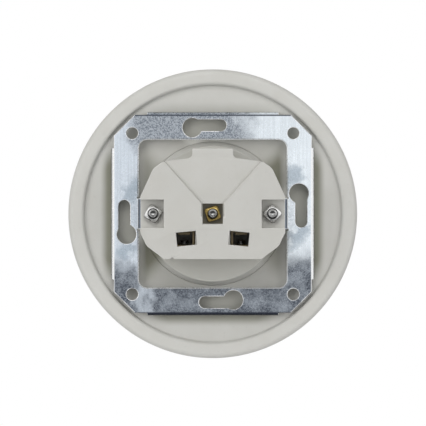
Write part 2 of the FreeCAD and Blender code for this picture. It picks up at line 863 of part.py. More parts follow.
def settle(body, across=ZERO, back=ZERO, up=ZERO, axis=FreeCAD.Vector(0, 1, 0), turn=ZERO):
    """Turns a body about an axis through the origin and moves it to its place."""
    body.Placement = FreeCAD.Placement(FreeCAD.Vector(), FreeCAD.Rotation(axis, turn.value))
    body.setExpression("Placement.Rotation.Angle", turn.text)
    for name, size in (("x", across), ("y", back), ("z", up)):
        body.setExpression(f"Placement.Base.{name}", size.text)
    return body


def gather(name, bodies):
    """One node that holds several like pieces."""
    group = doc.addObject("Part::Compound", name)
    group.Label = name
    group.Links = bodies
    return group


def make_assembly_fasteners():
    """The two screws and square nuts that clamp the block's ears to the plate's tongues."""
    length = ear_pocket_floor + s.steel_nut_height + s.tip_stand_out - tongue_front
    screws = []
    nuts = []
    for side, turn in ((1, s.left_nut_turn), (-1, s.right_nut_turn)):
        number = len(screws) + 1
        across = ear_screw_across * side
        screw = make_screw(f"ear_screw_{number}", length, s.head_diameter, s.head_height)
        screws.append(settle(screw, across=across, back=tongue_front))
        nut = make_square_nut(f"ear_nut_{number}", s.steel_nut, s.steel_nut_height)
        nuts.append(settle(nut, across=across, back=ear_pocket_floor, turn=turn * side))
    return [gather("assembly_screws", screws), gather("assembly_nuts", nuts)]


def make_centre_fasteners():
    """The long screw from the recess floor and the brass nut that it ends in."""
    under_head = groove_floor - s.strip
    length = centre_pocket_floor + s.brass_nut_height + s.tip_stand_out - under_head
    screw = make_screw("centre_screw", length, s.head_diameter, s.head_height)
    nut = make_square_nut("centre_nut", s.brass_nut, s.brass_nut_height)
    settle(screw, back=under_head)
    settle(nut, back=centre_pocket_floor, turn=s.brass_nut_turn)
    return [screw, nut]


def make_terminal_screws():
    """The clamp screws that rise through the block's underside into the pillars."""
    length = s.pillar_sole + s.clamp_bite
    screws = []
    for side in (1, -1):
        name = f"clamp_screw_{len(screws) + 1}"
        screw = make_screw(name, length, s.clamp_head_diameter, s.clamp_head_height)
        place_of = {"across": pin_offset * side, "back": pillar_middle, "up": pillar_bottom}
        screws.append(settle(screw, **place_of, axis=FreeCAD.Vector(1, 0, 0), turn=as_size(90)))
    return gather("terminal_screws", screws)


def check_document():
    """Stops if any object of the document failed to build."""
    doc.recompute()
    for item in doc.Objects:
        if "Invalid" in item.State or "Error" in item.State:
            raise ValueError(f"{item.Name} failed: {item.State}")


def write_nodes(nodes):
    """Writes each sound node to its own file."""
    for node in nodes:
        if node.Shape.isNull() or not node.Shape.isValid() or not node.Shape.Solids:
            raise ValueError(f"{node.Label} is not a sound solid")
    os.makedirs("parts", exist_ok=True)
    for node in nodes:
        node.Shape.exportStep(f"parts/{node.Label}.step")
        print(node.Label, len(node.Shape.Solids), round(node.Shape.Volume, 2))


nodes = [
    make_cover_frame(),
    make_socket_well(),
    make_mounting_plate(),
    make_base_block(),
    make_contact("live_contact", 1),
    make_contact("neutral_contact", -1),
    make_terminal("live_terminal", 1),
    make_terminal("neutral_terminal", -1),
    make_terminal_screws(),
    make_earth_bracket(),
    *make_centre_fasteners(),
    *make_assembly_fasteners(),
]
check_document()
write_nodes(nodes)
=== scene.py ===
"""Looks of a flush wall socket, shown from the side that goes into the wall.

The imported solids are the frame. The cup, the terminal block, the folded plate and the brass pieces are
copies of their solids with softened edges. The cover, the screws and the nuts are surfaces worked out here.
Lengths are metres unless a line says millimetres, +Y points into the wall and +Z is up.
"""

import logging
import math
from dataclasses import dataclass
from enum import Enum
from functools import partial, reduce
from typing import Sequence, Union

import bmesh
import bpy
import numpy as np
from bpy.types import Material, Mesh, Node, NodeSocket, NodeTree, Object
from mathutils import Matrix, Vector


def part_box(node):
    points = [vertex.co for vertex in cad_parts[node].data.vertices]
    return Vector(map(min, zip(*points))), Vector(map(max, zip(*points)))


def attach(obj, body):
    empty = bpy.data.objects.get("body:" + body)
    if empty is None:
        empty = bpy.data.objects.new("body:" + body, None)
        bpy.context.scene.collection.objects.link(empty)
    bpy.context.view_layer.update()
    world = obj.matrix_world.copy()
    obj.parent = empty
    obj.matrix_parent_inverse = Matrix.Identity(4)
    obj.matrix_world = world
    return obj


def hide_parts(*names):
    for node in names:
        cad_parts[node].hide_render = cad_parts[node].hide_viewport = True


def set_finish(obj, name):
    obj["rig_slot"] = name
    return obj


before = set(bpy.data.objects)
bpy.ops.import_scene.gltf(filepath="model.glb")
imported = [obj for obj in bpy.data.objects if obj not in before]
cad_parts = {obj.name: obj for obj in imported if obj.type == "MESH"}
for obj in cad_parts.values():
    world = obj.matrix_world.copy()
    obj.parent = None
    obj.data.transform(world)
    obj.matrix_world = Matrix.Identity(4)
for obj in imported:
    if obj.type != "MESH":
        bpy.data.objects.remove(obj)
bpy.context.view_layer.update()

LOG = logging.getLogger("wall_socket")
MM = 0.001
BODY = "root"
EDGE = "edge"
HOLLOW = "hollow"

Colour = tuple[float, float, float]
Triple = tuple[float, float, float]
Span = tuple[float, float]
Feed = Union[NodeSocket, float, Sequence[float]]
Feeds = dict[Union[str, int], Feed]

# The span in which most of a cloudy pattern lies.
CLOUDS: Span = (0.3, 0.7)
# The distance of points that are one, and the width of faces that are none.
DOUBLE = 1e-7
SLIVER = 1e-8


class Slot(Enum):
    """The finishes that the record names."""

    COVER = "cover_plastic"
    BLOCK = "block_plastic"
    PLATE = "zinc_plate"
    BRASS = "contact_brass"
    NICKEL = "nickelled_brass"
    STEEL = "zinc_fasteners"


class Axis(Enum):
    """The directions in which a screw can point."""

    INTO_WALL = "y"
    UP = "z"


@dataclass
class Graph:
    """A node tree with short calls for the nodes that the finishes use."""

    tree: NodeTree

    # The Mix node's sockets for its factor and two colours, and the one for their mix.
    MIX_INPUTS = (0, 6, 7)
    MIX_OUTPUT = 2

    def add(self, kind: str, feeds: Union[Feeds, None] = None, **settings: object) -> Node:
        """Adds a node.

        Args:
            kind: the node's type name without its ShaderNode prefix.
            feeds: what goes into its inputs, by their names or numbers.
            settings: properties of the node.

        Returns:
            The new node.
        """
        node = self.tree.nodes.new(f"ShaderNode{kind}")
        for name, value in settings.items():
            setattr(node, name, value)
        self.fill(node, feeds or {})
        return node

    def fill(self, node: Node, feeds: Feeds) -> None:
        """Feeds several inputs of a node, by their names or numbers."""
        for key, value in feeds.items():
            self.feed(node.inputs[key], value)

    def feed(self, socket: NodeSocket, value: Feed) -> None:
        """Links another socket to an input, or sets the input to a plain value.

        Args:
            socket: the input.
            value: the other socket, a number, or the numbers of a vector or colour.
        """
        if isinstance(value, NodeSocket):
            self.tree.links.new(value, socket)
        elif isinstance(socket.default_value, float):
            socket.default_value = float(value)
        else:
            room = len(socket.default_value)
            socket.default_value = (tuple(value) + (1.0,))[:room]

    def math(self, operation: str, first: Feed, second: Feed = 0.0, clamp: bool = False) -> NodeSocket:
        """Does one step of arithmetic and, if asked, holds the result between 0 and 1."""
        return self.add("Math", {0: first, 1: second}, operation=operation, use_clamp=clamp).outputs[0]

    def times(self, *values: Feed) -> NodeSocket:
        """Gives the product of all the numbers."""
        return reduce(partial(self.math, "MULTIPLY"), values)

    def most(self, *values: Feed) -> NodeSocket:
        """Gives the greatest of all the numbers."""
        return reduce(partial(self.math, "MAXIMUM"), values)

    def squares(self, first: Feed, second: Feed) -> NodeSocket:
        """Gives the sum of two numbers' squares."""
        return self.math("ADD", self.math("POWER", first, 2.0), self.math("POWER", second, 2.0))

    def reach(self, across: Feed, up: Feed) -> NodeSocket:
        """Gives the distance from the middle, sideways or upwards, whichever is greater."""
        return self.most(self.math("ABSOLUTE", across), self.math("ABSOLUTE", up))

    def tint(self, mask: Feed, low: Feed, high: Feed) -> NodeSocket:
        """Mixes two colours, the first where the mask is 0 and the second where it is 1."""
        feeds = dict(zip(self.MIX_INPUTS, (mask, low, high)))
        return self.add("Mix", feeds, data_type="RGBA", clamp_factor=True).outputs[self.MIX_OUTPUT]

    def coats(self, colour: Feed, *coats: tuple[Feed, Feed]) -> NodeSocket:
        """Lays one colour after another over the first, each where its mask is 1."""
        return reduce(lambda under, coat: self.tint(coat[0], under, coat[1]), coats, colour)

    def remap(self, value: Feed, span: Span, low: Feed = 0.0, high: Feed = 1.0) -> NodeSocket:
        """Carries a number smoothly from a span to the range between low and high."""
        feeds = dict(enumerate((value, *span, low, high)))
        return self.add("MapRange", feeds, interpolation_type="SMOOTHSTEP").outputs[0]

    def step(self, place: Feed, span: Span, low: Feed = 0.0, high: Feed = 1.0) -> NodeSocket:
        """Does the same for a place in metres and a span in millimetres."""
        return self.remap(place, (span[0] * MM, span[1] * MM), low, high)

    def shade(self, *steps: tuple) -> NodeSocket:
        """Gives the product of several such steps, each with its place, its span and its two ends."""
        return self.times(*(self.step(*step) for step in steps))

    def place(self, stretch: Triple = (1.0, 1.0, 1.0), move: Triple = (0.0, 0.0, 0.0)) -> NodeSocket:
        """Gives the piece's own coordinates, stretched and moved along each axis."""
        feeds = {"Vector": self.add("TexCoord").outputs["Object"], "Scale": stretch, "Location": move}
        return self.add("Mapping", feeds).outputs["Vector"]

    def noise(self, scale: Feed, detail: float, roughness: float, **place: Triple) -> NodeSocket:
        """Gives a cloudy pattern with so many clouds to a metre, finer layers over it and their strength."""
        feeds = {"Vector": self.place(**place), "Scale": scale, "Detail": detail, "Roughness": roughness}
        return self.add("TexNoise", feeds).outputs[0]

    def split(self, vector: Feed) -> tuple[NodeSocket, ...]:
        """Gives a vector's three numbers."""
        return tuple(self.add("SeparateXYZ", {0: vector}).outputs)

    def facing(self, kind: str) -> tuple[NodeSocket, ...]:
        """Gives the three numbers of the surface's Normal or True Normal."""
        return self.split(self.add("NewGeometry").outputs[kind])

    def spot(self, right: Feed, up: Feed, spot: Triple) -> NodeSocket:
        """Gives a mask that fades from 1 at a spot to 0 at its reach, by its places and reach in millimetres."""
        ways = (self.math("SUBTRACT", way, at * MM) for way, at in zip((right, up), spot))
        return self.remap(self.squares(*ways), (0.0, (spot[2] * MM) ** 2), 1.0, 0.0)

    def bump(self, height: Feed, depth: float, distance: float) -> NodeSocket:
        """Turns a height into a normal, by its strength and the metres of a full step."""
        return self.add("Bump", {"Strength": depth, "Distance": distance, "Height": height}).outputs["Normal"]

    def blend(self, end: str, mask: Feed, first: Node, second: Node) -> None:
        """Leads a mix of two shaders to the tree's end, the first where the mask is 0."""
        mix = self.add("MixShader", {0: mask, 1: first.outputs[0], 2: second.outputs[0]})
        self.add(end, {"Surface": mix.outputs[0]})


def fresh_graph(owner: Union[Material, bpy.types.World]) -> Graph:
    """Gives a material or a world an empty node tree."""
    owner.use_nodes = True
    owner.node_tree.nodes.clear()
    return Graph(owner.node_tree)


class GroupBook:
    """The node groups that several finishes share, each built once by the method of its name."""

    # The numbers that each group takes, with their usual values.
    INPUTS = {
        "moulding_grain": {"Grain": 2600.0, "Wave": 120.0, "Fleck": 900.0},
        "edge_wear": {"Scale": 500.0, "Amount": 1.0},
        "hollow_soil_and_shade": {"Scale": 900.0, "Amount": 1.0},
        "settled_dust": {"Scale": 90.0, "Amount": 0.3},
        "metal_mottle": {"Crystal": 1500.0, "Streak": 2600.0, "Stain": 70.0},
    }

    def __init__(self) -> None:
        """Starts with no group made."""
        self.made: dict[str, NodeTree] = {}

    def make(self, name: str) -> NodeTree:
        """Builds a group.

        Args:
            name: the group's name.

        Returns:
            Its node tree, with the numbers that it takes and gives as sockets.
        """
        tree = bpy.data.node_groups.new(name, "ShaderNodeTree")
        new_socket = partial(tree.interface.new_socket, socket_type="NodeSocketFloat")
        for label, usual in self.INPUTS[name].items():
            new_socket(label, in_out="INPUT").default_value = usual
        graph = Graph(tree)
        given = getattr(self, name)(graph, tree.nodes.new("NodeGroupInput").outputs)
        for label in given:
            new_socket(label, in_out="OUTPUT")
        graph.fill(tree.nodes.new("NodeGroupOutput"), given)
        return tree

    def use(self, graph: Graph, name: str, **values: float) -> dict[str, NodeSocket]:
        """Places a group in a finish.

        Args:
            graph: the finish's graph.
            name: the group's name.
            values: the inputs that aren't as usual.

        Returns:
            The group's outputs by name.
        """
        if name not in self.made:
            self.made[name] = self.make(name)
        node = graph.add("Group", values, node_tree=self.made[name])
        return {socket.name: socket for socket in node.outputs}

    def moulding_grain(self, graph: Graph, take: Feeds) -> Feeds:
        """Gives the fine pitting of a spark eroded mould, with a softer waviness under it."""
        fine = graph.noise(take["Grain"], 2.0, 0.6)
        wave = graph.noise(take["Wave"], 2.0, 0.5)
        dots = graph.noise(take["Fleck"], 1.0, 0.4, move=(0.9, 0.4, 0.7))
        return {
            "Height": graph.math("ADD", graph.times(fine, 0.5), wave),
            "Tone": graph.noise(take["Wave"], 4.0, 0.6, move=(0.31, 0.17, 0.05)),
            "Flecks": graph.remap(dots, (0.70, 0.80)),
        }

    def edge_wear(self, graph: Graph, take: Feeds) -> Feeds:
        """Gives the softened edges, broken up by a cloudy pattern so that they wear unevenly."""
        edge = graph.add("Attribute", attribute_name=EDGE).outputs["Fac"]
        patch = graph.remap(graph.noise(take["Scale"], 3.0, 0.6), (0.3, 0.6), 0.35, 1.0)
        return {"Mask": graph.times(edge, patch, take["Amount"])}

    def hollow_soil_and_shade(self, graph: Graph, take: Feeds) -> Feeds:
        """Gives soiling and painted shade in the places that a piece marks as hollow, a little thinner in some
        spots.
        """
        hollow = graph.add("Attribute", attribute_name=HOLLOW).outputs["Fac"]
        patch = graph.remap(graph.noise(take["Scale"], 2.0, 0.5), CLOUDS, 0.75, 1.0)
        return {"Mask": graph.times(hollow, patch, take["Amount"])}

    def settled_dust(self, graph: Graph, take: Feeds) -> Feeds:
        """Gives thin dust that lies on faces that look up, in uneven clouds."""
        up = graph.remap(graph.facing("Normal")[2], (0.05, 0.9))
        clouds = graph.remap(graph.noise(take["Scale"], 5.0, 0.65), (0.35, 0.7))
        return {"Mask": graph.times(up, clouds, take["Amount"])}

    def metal_mottle(self, graph: Graph, take: Feeds) -> Feeds:
        """Gives the plating crystals, rolling streaks along Z and broad stains of a metal skin."""
        cells = graph.add("TexVoronoi", {"Vector": graph.place(), "Scale": take["Crystal"]}).outputs["Color"]
        fine = graph.noise(take["Crystal"], 3.0, 0.7, move=(0.2, 0.6, 0.4))
        streaks = graph.noise(take["Streak"], 4.0, 0.65, stretch=(1.0, 1.0, 0.025))
        return {
            "Crystals": graph.math("ADD", graph.times(graph.split(cells)[0], 0.45), graph.times(fine, 0.55)),
            "Streaks": streaks,
            "Stains": graph.noise(take["Stain"], 4.0, 0.6, move=(0.7, 0.1, 0.2)),
            "Height": graph.math("ADD", graph.times(streaks, 0.6), fine),
        }


GROUPS = GroupBook()


def add_object(name: str, data: bpy.types.ID) -> Object:
    """Puts a new object with its data into the scene."""
    thing = bpy.data.objects.new(name, data)
    bpy.context.scene.collection.objects.link(thing)
    return thing


def new_piece(node: str, mesh: Mesh, slot: Slot) -> Object:
    """Puts a mesh into the scene as a piece of the part.

    Args:
        node: the solid that it stands for.
        mesh: its mesh, with its place in its points.
        slot: the record's finish that it takes.

    Returns:
        The new object.
    """
    piece = add_object(f"{node}_dressed", mesh)
    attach(piece, BODY)
    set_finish(piece, slot.value)
    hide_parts(node)
    LOG.info("%s: %d faces", piece.name, len(mesh.polygons))
    return piece


def rounded_profile(corners: Sequence[Triple], steps: int = 9) -> np.ndarray:
    """Rounds the corners of a closed outline.

    Each corner becomes an arc that touches both its sides: the arc's centre lies on the corner's bisector at
    the radius divided by the sine of half the angle, and the arc turns evenly from one touching point to the
    other. The two places of a point are the two parts of a complex number, which turns by multiplying.

    Args:
        corners: the corners in order, each with its two places and its radius.
        steps: how many points an arc has.

    Returns:
        The outline's points, one row each.
    """
    table = np.array(corners, float)
    point, radius = table[:, 0] + 1j * table[:, 1], table[:, 2]
    back, ahead = (np.roll(point, shift) - point for shift in (1, -1))
    back, ahead = back / np.abs(back), ahead / np.abs(ahead)
    half = np.arccos(np.clip((back * ahead.conj()).real, -1.0, 1.0)) / 2
    centre = point + (back + ahead) / np.abs(back + ahead) * radius / np.sin(half)
    start = point + back * radius / np.tan(half) - centre
    turn = (2 * half - np.pi) * np.sign((back.conj() * ahead).imag)
    arcs = centre[:, None] + start[:, None] * np.exp(1j * turn[:, None] * np.linspace(0.0, 1.0, steps))
    return np.stack([arcs.real, arcs.imag], axis=2).reshape(-1, 2)


def grid_faces(
    rows: int, columns: int, offset: int = 0, close_rows: bool = False, close_columns: bool = True
) -> np.ndarray:
    """Joins a grid of points into four-cornered faces.

    Args:
        rows: how many rows of points there are.
        columns: how many points a row has.
        offset: the number of the grid's first point.
        close_rows: whether the last row joins the first.
        close_columns: whether the last column joins the first.

    Returns:
        The faces as rows of four point numbers.
    """
    row = np.arange(rows if close_rows else rows - 1)[:, None]
    column = np.arange(columns if close_columns else columns - 1)[None, :]
    after_row, after_column = (row + 1) % rows, (column + 1) % columns
    corners = (
        row * columns + column,
        row * columns + after_column,
        after_row * columns + after_column,
        after_row * columns + column,
    )
    return offset + np.stack(corners, axis=2).reshape(-1, 4)


def turned(radius: np.ndarray, along: np.ndarray, angle: np.ndarray) -> np.ndarray:
    """Gives the points of rings round the Y axis, each at its radius, its place along Y and its angle."""
    radius, along, angle = np.broadcast_arrays(radius, along, angle)
    return np.stack([radius * np.cos(angle), along, radius * np.sin(angle)], axis=2).reshape(-1, 3)


def mark(mesh: Mesh, label: str, domain: str, values: np.ndarray) -> None:
    """Stores on each point or face of a mesh a number that its finish reads."""
    layer = mesh.attributes.new(label, "FLOAT", domain)
    layer.data.foreach_set("value", np.asarray(values, np.float32))


def settle(shape: bmesh.types.BMesh, mesh: Mesh, smooth: float) -> None:
    """Writes a worked shape into its mesh and shades it.

    Args:
        shape: the shape, which is freed.
        mesh: the mesh that takes it.
        smooth: the angle in degrees under which neighbouring faces are shaded as one.
    """
    shape.to_mesh(mesh)
    shape.free()
    mesh.shade_smooth()
    mesh.set_sharp_from_angle(angle=math.radians(smooth))


def mesh_from(name: str, points: np.ndarray, faces: np.ndarray, smooth: float, **marks: np.ndarray) -> Mesh:
    """Makes a mesh, merges its doubles and turns its faces outwards.

    Args:
        name: the mesh's name.
        points: its points, one row each, in metres.
        faces: the point numbers of each face.
        smooth: the angle in degrees under which neighbouring faces are shaded as one.
        marks: named numbers that the finish reads, one for each point or for each face.

    Returns:
        The mesh.
    """
    mesh = bpy.data.meshes.new(name)
    mesh.from_pydata(points, [], faces.tolist())
    for label, values in marks.items():
        mark(mesh, label, "POINT" if len(values) == len(points) else "FACE", values)
    shape = bmesh.new()
    shape.from_mesh(mesh)
    bmesh.ops.remove_doubles(shape, verts=shape.verts, dist=DOUBLE)
    bmesh.ops.dissolve_degenerate(shape, dist=SLIVER, edges=shape.edges)
    bmesh.ops.recalc_face_normals(shape, faces=shape.faces)
    if shape.calc_volume(signed=True) < 0.0:
        bmesh.ops.reverse_faces(shape, faces=shape.faces)
    settle(shape, mesh, smooth)
    return mesh


@dataclass(frozen=True)
class SoftEdge:
    """How the edges of a solid's copy are softened.

    Angles are degrees, a straight line is known by the cosine between its two ways, and the room that an edge
    needs is given in widths.
    """

    width: float = 0.22 * MM
    steps: int = 2
    roundness: float = 0.5
    sharp: float = 28.0
    smooth: float = 20.0
    flat: float = 0.4
    merge: float = 0.002 * MM
    straight: float = -0.86
    room_along: float = 0.2
    room_at_corner: float = 1.8


@dataclass
class SoftCopy:
    """A copy of a solid with its edges broken as moulding, pressing or tumbling leaves them."""

    node: str
    slot: Slot
    edge: SoftEdge

    def sound(self, vert: bmesh.types.BMVert, sharp: set[bmesh.types.BMEdge]) -> bool:
        """Tells whether a bevel can run through a point, which takes less room along one smooth line.

        Args:
            vert: the point.
            sharp: all edges that are to be bevelled.

        Returns:
            True where it can.
        """
        ways = [(edge.other_vert(vert).co - vert.co).normalized() for edge in vert.link_edges if edge in sharp]
        straight = len(ways) == 2 and ways[0].dot(ways[1]) < self.edge.straight
        room = min(edge.calc_length() for edge in vert.link_edges)
        return room > self.edge.width * (self.edge.room_along if straight else self.edge.room_at_corner)

    def build(self) -> Object:
        """Copies the solid, merges its loose triangles, and bevels the outer edges that have room for it.

        Returns:
            The piece that stands for the solid.
        """
        shape = bmesh.new()
        shape.from_mesh(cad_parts[self.node].data)
        bmesh.ops.remove_doubles(shape, verts=shape.verts, dist=self.edge.merge)
        flat = math.radians(self.edge.flat)
        bmesh.ops.dissolve_limit(shape, angle_limit=flat, verts=shape.verts, edges=shape.edges, delimit=set())
        limit = math.radians(self.edge.sharp)
        outer = {e for e in shape.edges if e.is_convex and e.calc_face_angle(0.0) > limit}
        sharp = [e for e in shape.edges if e in outer and all(self.sound(vert, outer) for vert in e.verts)]
        bevelled = bmesh.ops.bevel(
            shape, geom=sharp, offset=self.edge.width, offset_type="OFFSET", segments=self.edge.steps,
            profile=self.edge.roundness, affect="EDGES", loop_slide=True,
        )
        bmesh.ops.remove_doubles(shape, verts=shape.verts, dist=self.edge.merge)
        bmesh.ops.dissolve_degenerate(shape, dist=self.edge.merge, edges=shape.edges)
        shape.faces.index_update()
        soft = np.zeros(len(shape.faces))
        soft[[face.index for face in bevelled["faces"] if face.is_valid]] = 1.0
        mesh = bpy.data.meshes.new(f"{self.node}_dressed")
        settle(shape, mesh, self.edge.smooth)
        mark(mesh, EDGE, "FACE", soft)
        return new_piece(self.node, mesh, self.slot)


class Finish:
    """What every finish shares: a new material with its graph and its main shader."""

    slot: Slot

    def open(self) -> tuple[Material, Graph, Node]:
        """Starts the material.

        Returns:
            The material, its graph and its main shader.
        """
        material = bpy.data.materials.new(self.slot.value)
        graph = fresh_graph(material)
        shader = graph.add("BsdfPrincipled")
        graph.add("OutputMaterial", {"Surface": shader.outputs["BSDF"]})
        return material, graph, shader


@dataclass(frozen=True)
class MouldedPlastic(Finish):
    """A satin thermoset moulding: faint clouds, pitted skin, pale worn edges, a little dust."""

    slot: Slot
    colour: Colour
    cloud: Colour
    worn: Colour = (0.66, 0.655, 0.62)
    dust: Colour = (0.52, 0.50, 0.45)
    fleck: Colour = (0.42, 0.41, 0.37)
    fleck_share: float = 0.2
    smoothest: float = 0.41
    roughest: float = 0.52
    dust_roughness: float = 0.4
    pitting: float = 0.16
    pit: float = 0.06 * MM
    gloss: float = 0.42

    def paint_light_and_shade(self, graph: Graph, colour: NodeSocket) -> NodeSocket:
        """Gives the colour with painted light and shade, which a plain moulding doesn't have."""
        return colour

    def make(self) -> Material:
        """Builds the material: colour by clouds, flecks, worn edges and dust, roughness and bump by grain.

        Returns:
            The material.
        """
        material, graph, shader = self.open()
        grain = GROUPS.use(graph, "moulding_grain")
        wear = GROUPS.use(graph, "edge_wear", Scale=420.0, Amount=0.55)
        dust = GROUPS.use(graph, "settled_dust", Scale=110.0, Amount=0.35)
        colour = graph.coats(
            self.colour,
            (graph.remap(grain["Tone"], CLOUDS), self.cloud),
            (graph.times(grain["Flecks"], self.fleck_share), self.fleck),
            (wear["Mask"], self.worn),
            (dust["Mask"], self.dust),
        )
        rough = graph.remap(grain["Tone"], CLOUDS, self.smoothest, self.roughest)
        rough = graph.math("ADD", rough, graph.times(dust["Mask"], self.dust_roughness), clamp=True)
        graph.fill(shader, {
            "Base Color": self.paint_light_and_shade(graph, colour),
            "Roughness": rough,
            "Normal": graph.bump(grain["Height"], self.pitting, self.pit),
            "Specular IOR Level": self.gloss,
        })
        return material


@dataclass(frozen=True)
class CoverPlastic(MouldedPlastic):
    """The moulding of the cover and the cup, with warm painted shade where the plate shuts it in.

    The spans are in millimetres. Some of them lie along the distance from the middle, sideways or upwards.
    """

    # The warm colour of the painted shade under and beside the plate and on the cup's back.
    plate_shade: Colour = (0.225, 0.222, 0.172)
    plate_edge: Span = (33.7, 35.2)
    past_plate: Span = (38.9, 35.6)
    past_corners: Span = (60.0, 51.0)
    above_plate: Span = (31.0, 36.0)
    below_plate: Span = (-31.0, -36.0)
    opening_edge: Span = (25.6, 26.5)
    opening: Span = (25.5, 22.0)
    beside_block: Span = (-7.0, 3.0)
    diagonal: float = 350.0 * MM**2
    outside_cup: Span = (21.5, 22.0)
    behind_front: Span = (-7.0, -6.0)
    before_wall: Span = (3.0, -2.0)
    cup_back: Span = (7.0, 8.2)

    def paint_light_and_shade(self, graph: Graph, colour: NodeSocket) -> NodeSocket:
        """Paints warm shade on the back under the plate, most along its folded edges, and a little on the cup's
        back.

        The shade is a product of soft steps. In the plate's opening it is deepest at the sides, and deeper at
        two opposite corners than at the other two.

        Args:
            graph: the material's graph.
            colour: the colour of the clean moulding.

        Returns:
            The colour with the painted shade.
        """
        across, depth, up = graph.split(graph.place())
        aside, above = graph.math("ABSOLUTE", across), graph.math("ABSOLUTE", up)
        reach = graph.most(aside, above)
        corners = graph.remap(graph.times(across, up), (-self.diagonal, self.diagonal), 1.3, 0.7)
        sides = (graph.math("SUBTRACT", above, aside), self.beside_block, 1.9, 0.3)
        inside = graph.times(corners, graph.shade(sides, (reach, self.opening)))
        mask = graph.shade(
            (reach, self.plate_edge, 0.45, 1.0),
            (reach, self.past_plate),
            (graph.math("ADD", aside, above), self.past_corners),
            (up, self.above_plate, 1.0, 0.25),
            (up, self.below_plate, 1.0, 0.78),
            (reach, self.opening_edge, inside, 1.0),
            (graph.math("SQRT", graph.squares(across, up)), self.outside_cup),
            (depth, self.behind_front),
            (depth, self.before_wall),
        )
        # Painted shade: the plate's mask, or a fainter one on the cup's back, whichever is greater.
        return graph.tint(graph.most(mask, graph.step(depth, self.cup_back, 0.0, 0.32)), colour, self.plate_shade)


@dataclass(frozen=True)
class BlockPlastic(MouldedPlastic):
    """The terminal block's moulding, with dark brown painted shade inside the pocket of the brass nut."""

    # The dark brown of the shade painted in the middle pocket, and how much of it there is.
    pocket_shade: Colour = (0.086, 0.073, 0.038)
    pocket_shade_share: float = 0.88
    pocket: float = 3.3 * MM
    below_back: Span = (23.8, 23.2)

    def paint_light_and_shade(self, graph: Graph, colour: NodeSocket) -> NodeSocket:
        """Paints shade on the middle pocket's walls and floor."""
        across, depth, up = graph.split(graph.place())
        mask = graph.math("LESS_THAN", graph.reach(across, up), self.pocket)
        mask = graph.times(mask, graph.step(depth, self.below_back, 0.0, self.pocket_shade_share))
        return graph.tint(mask, colour, self.pocket_shade)


